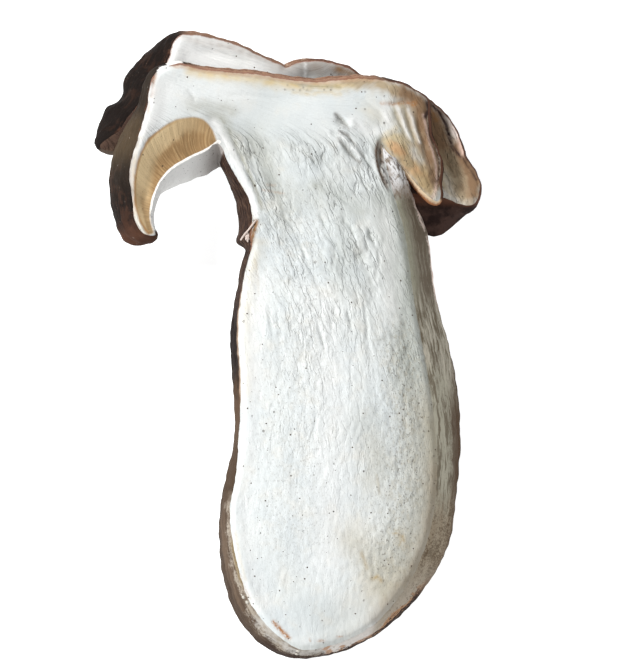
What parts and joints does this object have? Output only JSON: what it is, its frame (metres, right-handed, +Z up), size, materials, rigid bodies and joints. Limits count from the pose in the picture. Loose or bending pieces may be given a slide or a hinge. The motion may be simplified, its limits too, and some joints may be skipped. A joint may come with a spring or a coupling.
{
  "type": "dried porcini mushroom slice",
  "caption": "Thick lengthwise slice of a dried porcini: long swollen stem and a folded cap, split at its top into leaves, with brown skin, tan tubes and a white cut face.",
  "frame": {"origin": "centre of the bounding box at its bottom, on the surface that the slice rests on", "axes": "+Y along the stem from its foot to the cap, +Z up out of the upper cut face, +X across the stem to the cap's short half"},
  "size_m": [0.0632, 0.1006, 0.0122],
  "materials": {
    "dried_flesh": "matt white dried flesh with dark brown leathery skin on its edges and tan tubes under the cap"
  },
  "bodies": {
    "root": {"mushroom": "dried_flesh"}
  },
  "joints": []
}
